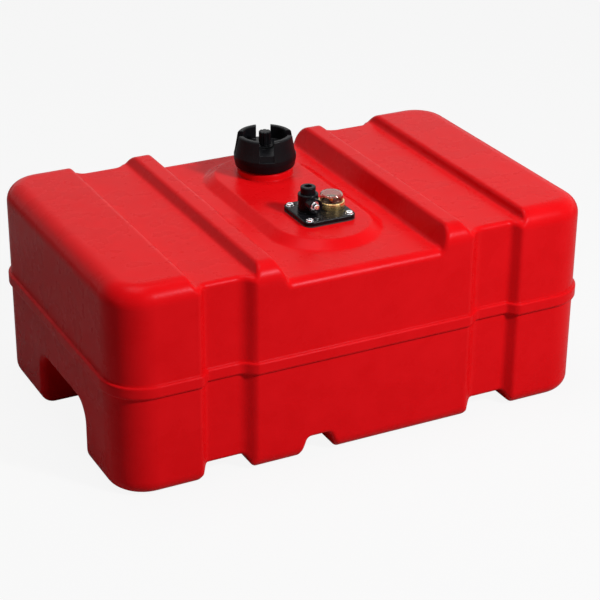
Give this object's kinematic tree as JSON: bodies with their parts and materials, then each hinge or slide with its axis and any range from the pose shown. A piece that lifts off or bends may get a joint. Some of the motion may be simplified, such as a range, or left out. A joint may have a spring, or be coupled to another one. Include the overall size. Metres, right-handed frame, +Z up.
{
  "type": "outboard fuel tank",
  "caption": "Portable fuel tank of moulded plastic, with strap grooves, carrying notches, a vented screw cap and a pick-up head with a float gauge and a valved outlet.",
  "frame": {"origin": "on the ground, in the middle of the tank's footprint", "axes": "+X along the tank's length, -Y out of the front face, where the outlet points, +Z up"},
  "size_m": [0.607, 0.385, 0.2877],
  "materials": {
    "red_polyethylene": "satin moulded polyethylene",
    "black_plastic": "fine-grained moulding",
    "head_plastic": "semi-gloss moulding",
    "seal_rubber": "smooth",
    "brass": "turned",
    "bright_steel": "bright stainless",
    "spring_steel": "drawn wire",
    "tube_aluminium": "drawn",
    "strainer_plastic": "natural nylon",
    "dial_plastic": "matt",
    "pointer_plastic": "matt",
    "clear_lens": "clear moulding",
    "float_foam": "closed-cell foam"
  },
  "bodies": {
    "tank": {"tank_body": "red_polyethylene", "thread_inserts": "brass", "flange_gasket": "seal_rubber", "pickup_head": "head_plastic", "screw_washers": "bright_steel", "flange_screws": "bright_steel", "tower_plug": "head_plastic", "pickup_tube": "tube_aluminium", "pickup_strainer": "strainer_plastic", "outlet_nipple": "brass", "nipple_seal": "seal_rubber", "valve_spring": "spring_steel", "spring_seat": "brass", "gauge_dial": "dial_plastic", "lens_seal": "seal_rubber", "gauge_lens": "clear_lens", "lens_ring": "brass", "guide_rods": "tube_aluminium", "cage_foot": "strainer_plastic"},
    "cap_seal": {"cap_gasket": "seal_rubber"},
    "cap": {"cap_shell": "black_plastic", "splash_baffle": "black_plastic"},
    "vent_washer": {"vent_seal": "seal_rubber"},
    "vent_knob": {"vent_screw": "black_plastic"},
    "outlet_valve": {"valve_pin": "brass"},
    "float": {"gauge_float": "float_foam", "float_follower": "strainer_plastic"},
    "indicator": {"twist_strip": "tube_aluminium", "gauge_spindle": "tube_aluminium", "gauge_pointer": "pointer_plastic"}
  },
  "joints": [
    {"name": "cap_rise", "type": "slide", "parent": "tank", "child": "cap_seal", "axis": [0, 0, 1], "range_m": [0, 0.01001]},
    {"name": "cap_turn", "type": "hinge", "parent": "cap_seal", "child": "cap", "pos_m": [0.011, 0.093, 0.2616], "axis": [0, 0, 1], "range_deg": [0, 720]},
    {"name": "vent_rise", "type": "slide", "parent": "cap", "child": "vent_washer", "axis": [0, 0, 1], "range_m": [0, 0.00401]},
    {"name": "vent_turn", "type": "hinge", "parent": "vent_washer", "child": "vent_knob", "pos_m": [0.011, 0.093, 0.2696], "axis": [0, 0, 1], "range_deg": [0, 720]},
    {"name": "valve_push", "type": "slide", "parent": "tank", "child": "outlet_valve", "axis": [0, 1, 0], "range_m": [0, 0.003], "stiffness_N_per_m": 300, "springref_m": -0.003, "deforming": ["valve_spring"]},
    {"name": "float_rise", "type": "slide", "parent": "tank", "child": "float", "axis": [0, 0, 1], "range_m": [0, 0.1598]},
    {"name": "pointer_turn", "type": "hinge", "parent": "tank", "child": "indicator", "pos_m": [0.026, -0.052, 0.241], "axis": [0, 0, 1], "range_deg": [-270.5, 0.5]}
  ],
  "couplings": [
    {"joint": "cap_rise", "follows": "cap_turn", "m_per_rad": 0.00079577},
    {"joint": "vent_rise", "follows": "vent_turn", "m_per_rad": 0.00031831},
    {"joint": "pointer_turn", "follows": "float_rise", "rad_per_m": -29.489}
  ]
}
